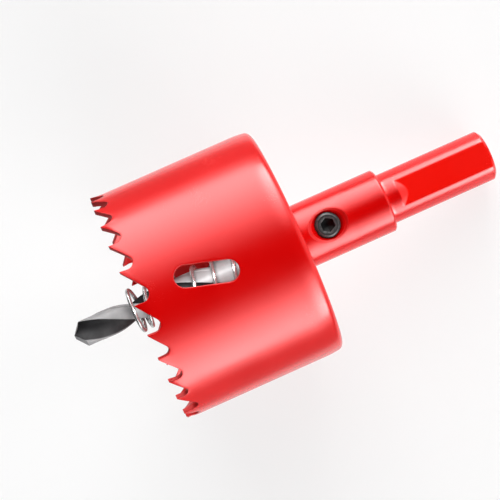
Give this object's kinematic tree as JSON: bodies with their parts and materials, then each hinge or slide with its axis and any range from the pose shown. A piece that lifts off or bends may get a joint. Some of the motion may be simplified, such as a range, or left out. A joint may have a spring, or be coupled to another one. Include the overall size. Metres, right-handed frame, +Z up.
{
  "type": "hole saw",
  "caption": "Hole saw: toothed cup with a slanted chip slot, on an arbor with a flatted shank, a twist pilot drill held by a set screw, and an ejector spring.",
  "frame": {"origin": "centre of the overall box at floor level, with the tool lying on its cap's rim and the end of its shank", "axes": "+X from the mouth towards the shank, along the floor; +Z up, with the tool's axis sloping down towards the shank by about 23.6 degrees; +Y across the tool"},
  "size_m": [0.0976, 0.0553, 0.0654],
  "materials": {
    "red_enamel": "smooth semi-gloss red paint over steel",
    "drill_steel": "ground high-speed steel",
    "spring_steel": "bright zinc plated spring wire",
    "screw_steel": "black oxide"
  },
  "bodies": {
    "root": {"saw_cup": "red_enamel", "arbor": "red_enamel", "pilot_drill": "drill_steel", "ejector_spring": "spring_steel", "set_screw": "screw_steel"}
  },
  "joints": []
}
